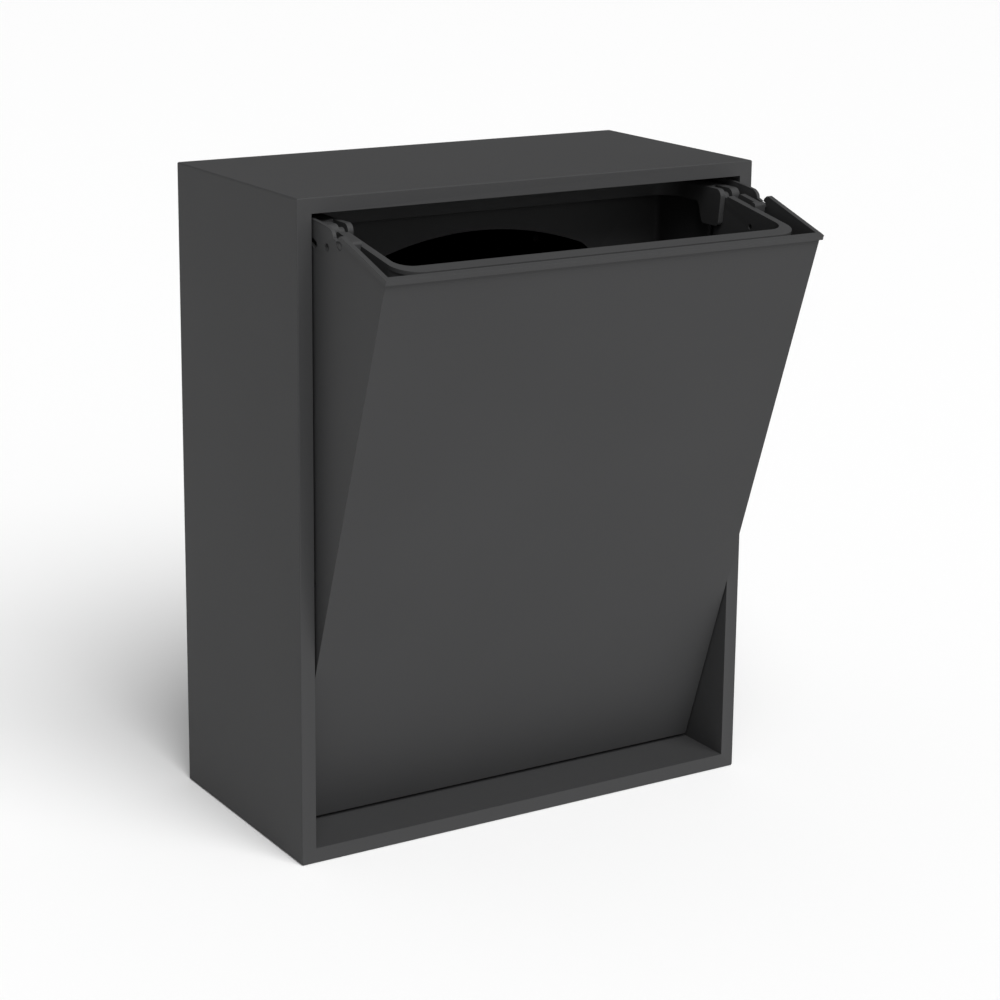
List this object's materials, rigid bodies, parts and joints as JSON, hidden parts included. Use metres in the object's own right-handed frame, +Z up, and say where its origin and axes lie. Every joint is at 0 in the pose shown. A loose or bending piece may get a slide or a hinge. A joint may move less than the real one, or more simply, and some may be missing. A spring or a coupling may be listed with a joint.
{
  "type": "tilt-front waste box",
  "caption": "Flat wall-hung waste box: a box-shaped cabinet with a front bin that tilts out at the top and a hinged bag frame.",
  "frame": {"origin": "centre of the cabinet's bottom face", "axes": "+X to the right seen from the front, +Y towards the wall behind it, +Z up"},
  "size_m": [0.325, 0.2488, 0.41],
  "materials": {
    "cabinet_plastic": "fine moulded grain, matte anthracite",
    "bin_plastic": "fine moulded grain, matte anthracite",
    "frame_plastic": "satin moulded, anthracite",
    "bush_plastic": "smooth self-lubricating plastic",
    "steel": "zinc-plated steel",
    "rubber": "matte black rubber"
  },
  "bodies": {
    "cabinet": {"outer_shell": "cabinet_plastic", "inner_liner": "cabinet_plastic", "back_plate": "cabinet_plastic", "keyhole_plate_left": "steel", "rivet_left_1": "steel", "rivet_left_2": "steel", "back_screw_left_1": "steel", "back_screw_left_2": "steel", "back_screw_left_3": "steel", "wall_pad_left": "rubber", "pivot_pin_left": "steel", "stop_pin_left": "steel", "keyhole_plate_right": "steel", "rivet_right_1": "steel", "rivet_right_2": "steel", "back_screw_right_1": "steel", "back_screw_right_2": "steel", "back_screw_right_3": "steel", "wall_pad_right": "rubber", "pivot_pin_right": "steel", "stop_pin_right": "steel"},
    "bin": {"tilt_bin": "bin_plastic", "pivot_bush_left": "bush_plastic", "pivot_bush_right": "bush_plastic", "bag_frame_front": "frame_plastic", "frame_pin_left": "frame_plastic", "frame_pin_right": "frame_plastic"},
    "rear_frame": {"bag_frame_rear": "frame_plastic", "hinge_pin_left": "steel", "hinge_pin_right": "steel"}
  },
  "joints": [
    {"name": "bin_tilt", "type": "hinge", "parent": "cabinet", "child": "bin", "pos_m": [0, -0.06, 0.13], "axis": [1, 0, 0], "range_deg": [-18.8, 0]},
    {"name": "frame_fold", "type": "hinge", "parent": "bin", "child": "rear_frame", "pos_m": [0, -0.08457, 0.38837], "axis": [1, 0, 0], "range_deg": [0, 18.8]}
  ],
  "couplings": [
    {"joint": "frame_fold", "follows": "bin_tilt", "ratio": -1}
  ]
}
